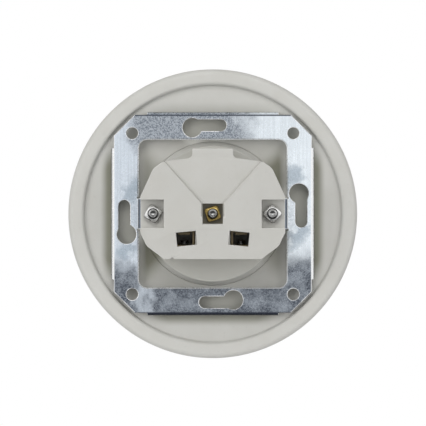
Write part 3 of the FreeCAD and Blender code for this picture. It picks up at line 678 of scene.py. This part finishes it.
@dataclass(frozen=True)
class ZincSheet(Finish):
    """Bright blue zinc on rolled sheet: pale fields, dull fields full of crystals, bright cut edges, and painted
    light and shade on the bends.

    The fields and spots are in millimetres, to the right and upwards as seen from behind.
    """

    slot: Slot
    pale: Colour = (0.70, 0.765, 0.84)
    white: Colour = (0.88, 0.945, 1.0)
    # Dark crystals, and the painted dark line along the top fold.
    dark: Colour = (0.072, 0.083, 0.104)
    # Dull crystals and streaks, and the painted shade on the tongues' folds.
    dull: Colour = (0.135, 0.153, 0.181)
    light: Colour = (0.26, 0.287, 0.325)
    frost: Colour = (0.20, 0.226, 0.262)
    gleam: Colour = (0.47, 0.51, 0.56)
    smudge: Colour = (0.38, 0.45, 0.52)
    # Bright cut edges, and the painted highlight on the side folds.
    burr_and_highlight: Colour = (0.95, 0.96, 0.97)
    # The painted shade on the outermost side folds and on folds that face down.
    under: Colour = (0.030, 0.035, 0.050)
    smoothest: float = 0.26
    roughest: float = 0.46
    worn_dullness: float = 0.7
    relief: float = 0.12
    relief_step: float = 0.05 * MM
    shake_right: float = 20 * MM
    shake_up: float = 16 * MM
    white_side: Span = (-18.0, 16.0)
    low_field: Span = (-9.5, -21.5)
    low_slope: float = 0.03
    glint_left: Span = (-28.0, -24.0)
    glint_right: Span = (-19.0, -23.0)
    bar_foot: Span = (20.0, 25.0)
    bar_left: Span = (-32.0, -26.0)
    bar_right: Span = (17.0, 7.0)
    spots: tuple[Triple, ...] = (
        (26.6, 12.4, 5.4), (-26.5, 8.5, 4.5), (28.8, -7.5, 4.2), (-28.0, -11.5, 3.6),
    )
    edge_folds: Span = (-2.2, -1.5)
    tongue_folds: Span = (1.0, 2.5)
    middle: Span = (-1.0, 1.0)
    lip_depth: Span = (0.08, 0.02)
    lip_reach: Span = (26.4, 26.1)

    def fields(self, graph: Graph) -> tuple[NodeSocket, ...]:
        """Says how the plating lies on the bars of the plate.

        Each field is a product of soft steps along X and Z, whose places are shaken by a cloudy pattern.

        Args:
            graph: the material's graph.

        Returns:
            Masks of the white side, the smudges, the lower dull field with a painted glint left pale in it, and the
            dull half of the upper bar.
        """
        across, _, up = graph.split(graph.place())
        shake = graph.math("SUBTRACT", graph.noise(110.0, 4.0, 0.6, move=(0.4, 0.2, 0.9)), 0.5)
        right = graph.math("SUBTRACT", graph.times(shake, self.shake_right), across)
        up = graph.math("ADD", up, graph.times(shake, self.shake_up))
        smudge = graph.most(*(graph.spot(right, up, spot) for spot in self.spots))
        slope = graph.math("SUBTRACT", up, graph.times(right, self.low_slope))
        # A painted highlight: the glint leaves a pale patch in the lower dull field.
        glint = graph.times(graph.shade((right, self.glint_left), (right, self.glint_right)), 0.6)
        low = graph.math("SUBTRACT", graph.step(slope, self.low_field), glint, clamp=True)
        bar = graph.shade((up, self.bar_foot), (right, self.bar_left), (right, self.bar_right, 0.08, 1.0))
        return graph.step(right, self.white_side), smudge, low, bar

    def bends(self, graph: Graph, colour: NodeSocket) -> NodeSocket:
        """Paints light and shade on the folds by the way they face: a painted highlight at the sides, a painted
        dark line along the top, painted shade below.

        The tongues stand further into the wall than the plate, and the shoulders of their folds get painted shade.

        Args:
            graph: the material's graph.
            colour: the colour of the flat sheet.

        Returns:
            The colour with the folds.
        """
        across, depth, up = graph.split(graph.place())
        lean, _, rise = graph.facing("True Normal")
        out = graph.times(lean, graph.math("SIGN", across))
        over = graph.times(rise, graph.step(up, self.middle))
        below = graph.times(rise, graph.step(up, self.middle[::-1]))
        # Painted highlight at the sides, painted shade at their outermost edge, along the top and below.
        fold = graph.coats(
            colour,
            (graph.remap(out, (0.2, 0.4)), self.burr_and_highlight),
            (graph.remap(out, (0.84, 0.98)), self.under),
            (graph.times(graph.remap(over, (0.10, 0.25)), graph.remap(over, (0.6, 0.4))), self.dark),
            (graph.remap(below, (-0.15, -0.5)), self.under),
        )
        # Painted shade on the tongues' folds where they face away from the middle.
        tongue = graph.tint(graph.remap(out, (0.25, 0.6)), colour, self.dull)
        folds = ((self.edge_folds, fold), (self.tongue_folds, tongue))
        return graph.coats(colour, *((graph.step(depth, span), coat) for span, coat in folds))

    def lip(self, graph: Graph) -> NodeSocket:
        """Gives a mask of the opening's rounded edge, which is painted bright."""
        across, depth, up = graph.split(graph.place())
        leaning = graph.remap(graph.facing("True Normal")[1], (0.99, 0.85), 0.0, 0.75)
        return graph.times(leaning, graph.shade((depth, self.lip_depth), (graph.reach(across, up), self.lip_reach)))

    def make(self) -> Material:
        """Builds the material: crystals in the dull fields, faint streaks in the pale ones, bright cut edges,
        painted light and shade on the folds.

        Returns:
            The material.
        """
        material, graph, shader = self.open()
        skin = GROUPS.use(graph, "metal_mottle", Crystal=2900.0, Streak=1700.0, Stain=150.0)
        wear = GROUPS.use(graph, "edge_wear", Scale=300.0, Amount=0.95)
        white, smudge, low, bar = self.fields(graph)
        pale = graph.coats(
            self.pale,
            (white, self.white),
            (graph.remap(skin["Streaks"], (0.38, 0.62), 0.0, 0.12), self.dull),
            (graph.times(smudge, 0.75), self.smudge),
        )
        coarse = graph.coats(
            self.dark,
            (graph.remap(skin["Crystals"], (0.32, 0.52)), self.dull),
            (graph.remap(skin["Crystals"], (0.5, 0.72)), self.light),
            (graph.remap(skin["Stains"], (0.42, 0.66), 0.0, 0.25), self.pale),
        )
        frost = graph.tint(graph.remap(skin["Crystals"], (0.34, 0.66)), self.frost, self.gleam)
        flat = graph.coats(pale, (low, coarse), (bar, frost))
        # Worn cut edges and the opening's rounded edge, both painted bright and less metal.
        worn = graph.most(wear["Mask"], self.lip(graph))
        graph.fill(shader, {
            "Base Color": graph.tint(worn, self.bends(graph, flat), self.burr_and_highlight),
            "Roughness": graph.remap(skin["Crystals"], CLOUDS, self.smoothest, self.roughest),
            "Metallic": graph.math("SUBTRACT", 1.0, graph.times(worn, self.worn_dullness)),
            "Normal": graph.bump(skin["Height"], self.relief, self.relief_step),
        })
        return material


@dataclass(frozen=True)
class PlainMetal(Finish):
    """A small metal piece: faint stains, bright edges, soiling and painted shade in its hollows, painted light on
    its upper faces and painted shade on its undersides.
    """

    slot: Slot
    # Bright edges and sparkle, and the painted highlight on faces that look up.
    bright: Colour
    body: Colour
    stain: Colour
    # Soiling and painted shade, in the hollows and on the faces that look down.
    soil_and_shade: Colour
    smoothest: float = 0.22
    roughest: float = 0.42
    relief: float = 0.10
    relief_step: float = 0.03 * MM

    def paint_light_and_shade(self, graph: Graph, colour: NodeSocket) -> NodeSocket:
        """Paints light on the faces that look up and shade on the ones that look down."""
        up = graph.facing("Normal")[2]
        painted_light_up, painted_shade_down = graph.remap(up, (0.04, 0.35), 0.0, 0.85), graph.remap(up, (-0.04, -0.35), 0.0, 0.92)
        return graph.coats(colour, (painted_light_up, self.bright), (painted_shade_down, self.soil_and_shade))

    def shut_away(self, graph: Graph, colour: NodeSocket) -> NodeSocket:
        """Gives the colour inside the block, which a plated piece keeps."""
        return colour

    def lustre(self, graph: Graph) -> Feed:
        """Says how much of a metal the piece looks, which is all of it where it is plated."""
        return 1.0

    def make(self) -> Material:
        """Builds the material: body colour by stains and crystals, painted light and shade by facing, bright worn
        edges, hollows darkened by soiling and painted shade.

        Returns:
            The material.
        """
        material, graph, shader = self.open()
        skin = GROUPS.use(graph, "metal_mottle", Crystal=3000.0, Streak=4200.0, Stain=420.0)
        wear = GROUPS.use(graph, "edge_wear", Scale=900.0, Amount=0.95)
        # Soiling and painted shade in the places marked hollow.
        soil_and_shade_mask = GROUPS.use(graph, "hollow_soil_and_shade", Scale=1400.0, Amount=0.95)
        colour = graph.coats(
            self.body,
            (graph.remap(skin["Stains"], (0.36, 0.62), 0.0, 0.75), self.stain),
            (graph.remap(skin["Crystals"], (0.4, 0.7), 0.0, 0.12), self.bright),
        )
        colour = graph.coats(self.paint_light_and_shade(graph, colour), (soil_and_shade_mask["Mask"], self.soil_and_shade), (wear["Mask"], self.bright))
        graph.fill(shader, {
            "Base Color": self.shut_away(graph, colour),
            "Roughness": graph.remap(skin["Crystals"], CLOUDS, self.smoothest, self.roughest),
            "Normal": graph.bump(skin["Height"], self.relief, self.relief_step),
            "Metallic": self.lustre(graph),
        })
        return material


@dataclass(frozen=True)
class ContactBrass(PlainMetal):
    """Brass darkened brown where it lies inside the terminal block: tarnished, and with painted shade."""

    # Tarnished brown and painted shade, for what lies deeper than the nut's seat.
    tarnish_and_shade: Colour = (0.125, 0.094, 0.042)
    below_seat: Span = (19.0, 18.7)

    def inside(self, graph: Graph, share: float) -> NodeSocket:
        """Gives a mask of all that lies deeper than the nut's seat, as high as the share."""
        return graph.step(graph.split(graph.place())[1], self.below_seat, 0.0, share)

    def shut_away(self, graph: Graph, colour: NodeSocket) -> NodeSocket:
        """Lays tarnished brown and painted shade over what is inside the block."""
        return graph.tint(self.inside(graph, 0.95), colour, self.tarnish_and_shade)

    def lustre(self, graph: Graph) -> Feed:
        """Takes most of the metal's shine from what lies inside the block."""
        return graph.math("SUBTRACT", 1.0, self.inside(graph, 0.85))


@dataclass
class CoverRing:
    """The round cover: a turned moulding with a rolled rim, a dished back and a crowned front."""

    outer: float = 49.5
    rim: float = 1.5
    rim_inner: float = 44.0
    rim_outer_round: float = 2.0
    rim_inner_round: float = 1.3
    shoulder: float = 8.6
    shoulder_round: float = 4.6
    front: float = 10.5
    wall: float = 5.9
    seat: float = 9.3
    seat_radius: float = 27.3
    hole: float = 24.64
    dish: float = 3.8
    dish_round: float = 0.6
    edge_round: float = 0.25
    around: int = 288
    smooth: float = 40.0

    def profile(self) -> np.ndarray:
        """Gives the section from the rim round to the dish as rows of depth along Y and radius, in millimetres."""
        return rounded_profile([
            (-self.rim, self.rim_inner, self.rim_inner_round),
            (-self.rim, self.outer, self.rim_outer_round),
            (-self.shoulder, self.outer, self.shoulder_round),
            (-self.front, self.seat_radius, self.edge_round),
            (-self.seat, self.seat_radius, self.edge_round),
            (-self.seat, self.hole, self.edge_round),
            (self.wall - self.front, self.hole, self.edge_round),
            (-self.dish, self.rim_inner, self.dish_round),
        ])

    def build(self) -> Object:
        """Turns the section about Y: each of its points goes round a circle of its own radius.

        Returns:
            The cover's piece.
        """
        section = self.profile() * MM
        angle = np.linspace(0.0, 2 * np.pi, self.around, endpoint=False)
        points = turned(section[:, 1:], section[:, :1], angle)
        faces = grid_faces(len(section), self.around, close_rows=True)
        mesh = mesh_from("cover_frame_dressed", points, faces, self.smooth)
        return new_piece("cover_frame", mesh, Slot.COVER)


@dataclass
class Skin:
    """A closed skin in millimetres, with how much edge and hollow each of its points or faces is."""

    points: np.ndarray
    faces: np.ndarray
    edge: np.ndarray
    hollow: np.ndarray


@dataclass
class SlottedScrew:
    """A cheese head screw with a rolled thread and a dished end."""

    length: float
    head: float = 5.5
    head_height: float = 1.9
    slot: float = 0.8
    slot_depth: float = 1.0
    head_round: float = 0.25
    thread: float = 3.0
    thread_start: float = 0.05
    pitch: float = 0.5
    groove: float = 0.27
    groove_slope: float = 1.25
    groove_crest: float = 0.1
    tip_bevel: float = 0.35
    dish: float = 1.0
    dish_depth: float = 0.75
    # How hollow the slot and the thread's grooves are marked; the finish darkens hollows with soiling and painted
    # shade.
    slot_hollow: float = 0.9
    groove_hollow: float = 0.6
    chord_rows: int = 13
    slot_rows: int = 5
    face_columns: int = 9
    bend_rings: int = 5
    turn_rings: int = 9
    least_rings: int = 24
    dish_rings: int = 9

    def chords(self) -> tuple[np.ndarray, np.ndarray]:
        """Gives the rows that the head's face is cut into, side by side along the slot.

        Returns:
            Each row's place across the slot, and its depth below the head's face.
        """
        reach, half = self.head / 2 - self.head_round, self.slot / 2
        outside = half + (reach - half) * np.sin(np.linspace(0.0, np.pi / 2, self.chord_rows))
        inside = np.linspace(-half, half, self.slot_rows)
        rows = np.concatenate([-outside[::-1], inside, outside])
        depth = np.concatenate([0 * outside, 0 * inside + self.slot_depth, 0 * outside])
        return rows, depth

    def section(self) -> np.ndarray:
        """Gives radius and place along the screw from the head's rounded edge to the thread's start.

        Returns:
            The section's points, one row each.
        """
        bend = np.linspace(0.0, np.pi / 2, self.bend_rings)
        radius = self.head / 2 - self.head_round + self.head_round * np.sin(bend)
        along = -self.head_height + self.head_round * (1 - np.cos(bend))
        foot = [[self.head / 2, 0.0], [self.thread / 2, 0.0]]
        return np.concatenate([np.stack([radius, along], axis=1), foot])

    def shank(self, angle: np.ndarray) -> tuple[np.ndarray, np.ndarray, np.ndarray]:
        """Works out the threaded shank and its end.

        The radius is the thread's outer radius less a groove that goes up and down evenly once in each pitch
        and starts later the further round it is, so that it winds. It fades out under the head and follows the
        bevel at the end. The end sinks as a parabola inside its rim.

        Args:
            angle: the angles round the screw.

        Returns:
            The radius, the place along the screw and how hollow it is there, for each ring and angle.
        """
        rings = max(self.least_rings, int(self.length / self.pitch * self.turn_rings))
        along = np.linspace(self.thread_start, self.length, rings)[:, None]
        phase = np.mod(along / self.pitch - angle / (2 * np.pi), 1.0)
        wave = np.clip(self.groove_slope * (1 - np.abs(2 * phase - 1)) - self.groove_crest, 0.0, 1.0)
        wave = wave * np.clip(along / self.pitch, 0.0, 1.0)
        bevel = self.thread / 2 - np.clip(along - (self.length - self.tip_bevel), 0.0, None)
        radius = np.minimum(self.thread / 2 - self.groove * wave, bevel)
        inner = np.linspace(1.0, 0.0, self.dish_rings)[:, None] * self.dish + 0 * angle
        sunk = self.length - self.dish_depth * (1 - (inner / self.dish) ** 2)
        hollow = np.concatenate([self.groove_hollow * wave, 0 * inner])
        return np.concatenate([radius, inner]), np.concatenate([along + 0 * angle, sunk]), hollow

    def solve(self) -> Skin:
        """Joins the head's face, its skirt, the shank and the end.

        The face is a grid of parallel chords of a circle. The skirt and the shank are rings that start from
        the face's border, point by point, so that the whole is one closed skin.

        Returns:
            The skin, with its points as across, along and up.
        """
        rows, depth = self.chords()
        reach = self.head / 2 - self.head_round
        half = np.sqrt(np.maximum(reach**2 - rows**2, 0.0))
        across = half[:, None] * np.linspace(-1.0, 1.0, self.face_columns)
        along = (depth - self.head_height)[:, None]
        face = np.stack(np.broadcast_arrays(across, along, rows[:, None]), axis=2)
        border = np.concatenate([face[:, -1], face[::-1, 0]])
        angle = np.arctan2(border[:, 2], border[:, 0])
        section = self.section()
        skirt_radius = section[:, :1] + 0 * angle
        skirt_along = np.maximum(section[:, 1:], border[:, 1])
        shank_radius, shank_along, shank_hollow = self.shank(angle)
        radius = np.concatenate([skirt_radius, shank_radius])
        rings = turned(radius, np.concatenate([skirt_along, shank_along]), angle)
        faces = np.concatenate([
            grid_faces(*across.shape, close_columns=False),
            grid_faces(len(radius), len(angle), offset=across.size),
        ])
        slot = np.repeat(np.where(depth > 0, self.slot_hollow, 0.0), self.face_columns)
        hollow = np.concatenate([slot, np.zeros(skirt_radius.size), shank_hollow.reshape(-1)])
        hollow = hollow[faces].mean(axis=1)
        return Skin(np.concatenate([face.reshape(-1, 3), rings]), faces, 0 * hollow, hollow)

    def placed(self, at: Sequence[float], axis: Axis) -> Skin:
        """Puts the screw in its place.

        Args:
            at: where the underside of its head is, in millimetres.
            axis: which way it points.

        Returns:
            The skin.
        """
        skin = self.solve()
        if axis is Axis.UP:
            skin.points = np.stack([skin.points[:, 0], -skin.points[:, 2], skin.points[:, 1]], axis=1)
        skin.points = skin.points + np.asarray(at, float)
        return skin


@dataclass
class SquareNut:
    """A square nut with rounded corners, a turned face and a countersunk thread."""

    width: float
    height: float
    bore: float = 1.52
    sink: float = 0.30
    land: float = 0.55
    slope: float = 0.50
    rolled: float = 0.36
    foot: float = 0.14
    squareness: float = 6.5
    around: int = 96

    def placed(self, at: Sequence[float], turn: float) -> Skin:
        """Works out the nut in its place.

        Its outline is the curve on which the sum of the two distances from the axis, each raised to the
        squareness, stays the same. The turned face is a cone that falls from the land inside the flats, so that
        it cuts deepest at the corners. The rings go from the bore's foot out, up the sides, over the rolled
        edge, the cone and the land, and down the countersink, and the last one joins the first.

        Args:
            at: the middle of its underside, in millimetres.
            turn: how far it is turned about Y, in degrees.

        Returns:
            The skin.
        """
        half, power = self.width / 2, self.squareness
        angle = np.linspace(0.0, 2 * np.pi, self.around, endpoint=False)
        outline = half / (np.abs(np.cos(angle)) ** power + np.abs(np.sin(angle)) ** power) ** (1 / power)
        flat = half - self.land
        inner = outline - self.rolled
        shoulder = self.height - (inner - flat) * self.slope
        # The edge marks make the rolled edge and the land bright, partly wear and partly a painted highlight; the
        # hollow marks darken the sides and the countersink with soiling and painted shade.
        # Each ring's radius, its place along Y, and how much edge and hollow it is.
        rings = [
            (self.bore, 0.0, 0.0, 0.0),
            (outline - self.foot, 0.0, 0.0, 0.3),
            (outline, self.foot, 0.0, 0.9),
            (outline, shoulder - self.rolled, 0.0, 0.9),
            (inner, shoulder, 1.0, 0.0),
            (flat, self.height, 0.35, 0.0),
            (self.bore + self.sink, self.height, 0.0, 0.6),
            (self.bore, self.height - self.sink, 0.0, 1.0),
        ]
        radius, along, edge, hollow = (np.stack([value + 0 * angle for value in row]) for row in zip(*rings))
        points = turned(radius, along, angle - math.radians(turn)) + np.asarray(at, float)
        faces = grid_faces(len(rings), self.around, close_rows=True)
        return Skin(points, faces, edge.reshape(-1), hollow.reshape(-1))


def fastener_piece(node: str, slot: Slot, smooth: float, *skins: Skin) -> Object:
    """Makes one piece of several placed screws or nuts.

    Args:
        node: the solids that they stand for.
        slot: their finish.
        smooth: the angle in degrees under which neighbouring faces are shaded as one.
        skins: the skin of each.

    Returns:
        The piece.
    """
    starts = np.cumsum([0] + [len(skin.points) for skin in skins])
    mesh = mesh_from(
        f"{node}_dressed",
        np.concatenate([skin.points for skin in skins]) * MM,
        np.concatenate([skin.faces + start for skin, start in zip(skins, starts)]),
        smooth,
        edge=np.concatenate([skin.edge for skin in skins]),
        hollow=np.concatenate([skin.hollow for skin in skins]),
    )
    return new_piece(node, mesh, slot)


@dataclass
class Fastenings:
    """The screws and nuts that hold the socket together, in millimetres and degrees."""

    centre_seat: float = 6.1
    centre_length: float = 16.4
    ear_seat: float = 10.8
    ear_length: float = 12.5
    ear_across: float = 19.8
    clamp_across: float = 9.5
    clamp_back: float = 15.4
    clamp_length: float = 3.2
    clamp_head: float = 4.2
    clamp_head_height: float = 1.5
    steel_width: float = 4.9
    steel_height: float = 2.4
    steel_seat: float = 20.0
    steel_turns: tuple[float, float] = (58.0, -42.0)
    brass_width: float = 4.7
    brass_height: float = 2.2
    brass_seat: float = 19.4
    brass_turn: float = 18.0
    screw_smooth: float = 38.0
    nut_smooth: float = 24.0

    def build(self) -> list[Object]:
        """Makes the screws and the nuts from their sizes.

        Returns:
            Their pieces.
        """
        low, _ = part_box("terminal_screws")
        clamp_seat = low.z / MM + self.clamp_head_height
        centre = SlottedScrew(self.centre_length).placed((0.0, self.centre_seat, 0.0), Axis.INTO_WALL)
        ear = SlottedScrew(self.ear_length)
        clamp = SlottedScrew(self.clamp_length, head=self.clamp_head, head_height=self.clamp_head_height)
        steel = SquareNut(self.steel_width, self.steel_height)
        brass = SquareNut(self.brass_width, self.brass_height)
        ears, clamps, nuts = [], [], []
        for side, turn in zip((1, -1), self.steel_turns):
            ears.append(ear.placed((self.ear_across * side, self.ear_seat, 0.0), Axis.INTO_WALL))
            clamps.append(clamp.placed((self.clamp_across * side, self.clamp_back, clamp_seat), Axis.UP))
            nuts.append(steel.placed((self.ear_across * side, self.steel_seat, 0.0), turn))
        earth = brass.placed((0.0, self.brass_seat, 0.0), self.brass_turn)
        return [
            fastener_piece("centre_screw", Slot.STEEL, self.screw_smooth, centre),
            fastener_piece("assembly_screws", Slot.STEEL, self.screw_smooth, *ears),
            fastener_piece("terminal_screws", Slot.STEEL, self.screw_smooth, *clamps),
            fastener_piece("assembly_nuts", Slot.STEEL, self.nut_smooth, *nuts),
            fastener_piece("centre_nut", Slot.BRASS, self.nut_smooth, earth),
        ]


@dataclass
class SoftPieces:
    """The cup, the terminal block, the folded plate, the earth strap, the contacts and the terminals."""

    common: SoftEdge = SoftEdge()
    block: SoftEdge = SoftEdge(sharp=60.0)
    brass: SoftEdge = SoftEdge(width=0.10 * MM)

    def build(self) -> list[Object]:
        """Makes the pieces from their solids.

        Returns:
            The pieces.
        """
        copies = [
            SoftCopy("socket_well", Slot.COVER, self.common),
            SoftCopy("base_block", Slot.BLOCK, self.block),
            SoftCopy("mounting_plate", Slot.PLATE, self.common),
            SoftCopy("earth_bracket", Slot.NICKEL, self.brass),
        ]
        for node in ("live_contact", "neutral_contact", "live_terminal", "neutral_terminal"):
            copies.append(SoftCopy(node, Slot.BRASS, self.brass))
        return [copy.build() for copy in copies]


@dataclass
class Studio:
    """The pale floor, the soft light and the camera behind the socket."""

    camera_away: float = 0.8
    view_width: float = 0.1454
    aim_right: float = 0.085 * MM
    aim_up: float = 0.256 * MM
    sensor: float = 36.0
    floor_level: float = -0.13
    floor_half: float = 0.6
    floor_lines: int = 9
    floor_grey: Colour = (0.82, 0.82, 0.82)
    floor_rough: float = 0.9
    floor_glow: float = 0.7
    sky: Colour = (0.395, 0.40, 0.415)
    white: Colour = (1.0, 1.0, 1.0)
    lamp_size: float = 0.5

    # Each lamp's name, its power in watts and its place in metres.
    LAMPS = (
        ("left_lamp", 3.2, (0.65, 0.85, 0.15)),
        ("right_lamp", 1.9, (-0.65, 0.85, 0.10)),
        ("top_lamp", 3.4, (0.05, 0.85, 0.70)),
        ("front_lamp", 5.0, (0.35, -0.95, 0.45)),
    )

    def background(self) -> None:
        """Sets a grey sky that lights the part, and a white one for what the camera and mirrors see."""
        world = bpy.data.worlds.new("studio_white")
        bpy.context.scene.world = world
        graph = fresh_graph(world)
        light = graph.add("Background", {"Color": self.sky})
        white = graph.add("Background", {"Color": self.white})
        graph.blend("OutputWorld", self.seen(graph), light, white)

    def seen(self, graph: Graph) -> NodeSocket:
        """Gives 1 for rays from the camera, a mirror or a glass, and 0 for light."""
        path = graph.add("LightPath")
        return graph.most(*(path.outputs[f"Is {kind} Ray"] for kind in ("Camera", "Glossy", "Transmission")))

    def floor(self) -> None:
        """Lays a pale floor below the part that shows white and keeps the part's shadow."""
        side = np.linspace(-self.floor_half, self.floor_half, self.floor_lines)
        across, back = np.meshgrid(side, side)
        points = np.stack([across, back, 0 * across + self.floor_level], axis=2).reshape(-1, 3)
        mesh = bpy.data.meshes.new("studio_floor")
        mesh.from_pydata(points, [], grid_faces(len(side), len(side), close_columns=False).tolist())
        floor = add_object("studio_floor", mesh)
        material = bpy.data.materials.new("floor_paper")
        graph = fresh_graph(material)
        paper = graph.add("BsdfPrincipled", {"Base Color": self.floor_grey, "Roughness": self.floor_rough})
        glow = graph.add("Emission", {"Strength": 1.0})
        graph.blend("OutputMaterial", graph.times(self.seen(graph), self.floor_glow), paper, glow)
        mesh.materials.append(material)

    def lamp(self, name: str, power: float, at: Triple) -> None:
        """Hangs a soft square lamp that looks at the part.

        Args:
            name: the lamp's name.
            power: its power in watts.
            at: where it hangs, in metres.
        """
        data = bpy.data.lights.new(name, "AREA")
        data.shape = "SQUARE"
        data.size = self.lamp_size
        data.energy = power
        lamp = add_object(name, data)
        lamp.visible_glossy = False
        lamp.location = at
        lamp.rotation_euler = (-Vector(at)).to_track_quat("-Z", "Y").to_euler()

    def camera(self) -> None:
        """Sets the camera straight behind the part, so that the view is as wide as the photograph's."""
        data = bpy.data.cameras.new("camera")
        data.sensor_width = self.sensor
        data.lens = self.sensor * self.camera_away / self.view_width
        camera = add_object("camera", data)
        camera.location = (-self.aim_right, self.camera_away, self.aim_up)
        camera.rotation_euler = (math.pi / 2, 0.0, math.pi)
        bpy.context.scene.camera = camera

    def build(self) -> None:
        """Sets up the whole studio."""
        bpy.context.scene.view_settings.view_transform = "Standard"
        self.background()
        self.floor()
        for row in self.LAMPS:
            self.lamp(*row)
        self.camera()


def finishes() -> dict[Slot, Material]:
    """Makes the six finishes of the record.

    Returns:
        The material of each slot.
    """
    # Each metal's bright colour, body, stain, and colour of soiling and painted shade.
    zinc = ((0.96, 0.96, 0.95), (0.72, 0.72, 0.715), (0.18, 0.18, 0.18), (0.022, 0.022, 0.022))
    brass = ((0.95, 0.72, 0.27), (0.56, 0.37, 0.095), (0.13, 0.075, 0.018), (0.035, 0.022, 0.008))
    nickel = ((0.86, 0.84, 0.78), (0.66, 0.63, 0.56), (0.50, 0.46, 0.38), (0.30, 0.27, 0.21))
    kinds = (
        CoverPlastic(Slot.COVER, (0.575, 0.570, 0.535), (0.555, 0.548, 0.510)),
        BlockPlastic(Slot.BLOCK, (0.520, 0.513, 0.480), (0.503, 0.495, 0.458)),
        ZincSheet(Slot.PLATE),
        ContactBrass(Slot.BRASS, *brass),
        PlainMetal(Slot.NICKEL, *nickel),
        PlainMetal(Slot.STEEL, *zinc),
    )
    return {kind.slot: kind.make() for kind in kinds}


def dress(pieces: Sequence[Object], materials: dict[Slot, Material]) -> None:
    """Gives each piece the material of the slot it was made for."""
    for piece in pieces:
        piece.data.materials.clear()
        piece.data.materials.append(materials[Slot(piece["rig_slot"])])


def main() -> None:
    """Builds and dresses the part, then sets up the studio."""
    logging.basicConfig(level=logging.INFO)
    materials = finishes()
    pieces = [CoverRing().build(), *SoftPieces().build(), *Fastenings().build()]
    dress(pieces, materials)
    Studio().build()


if __name__ == "__main__":
    main()
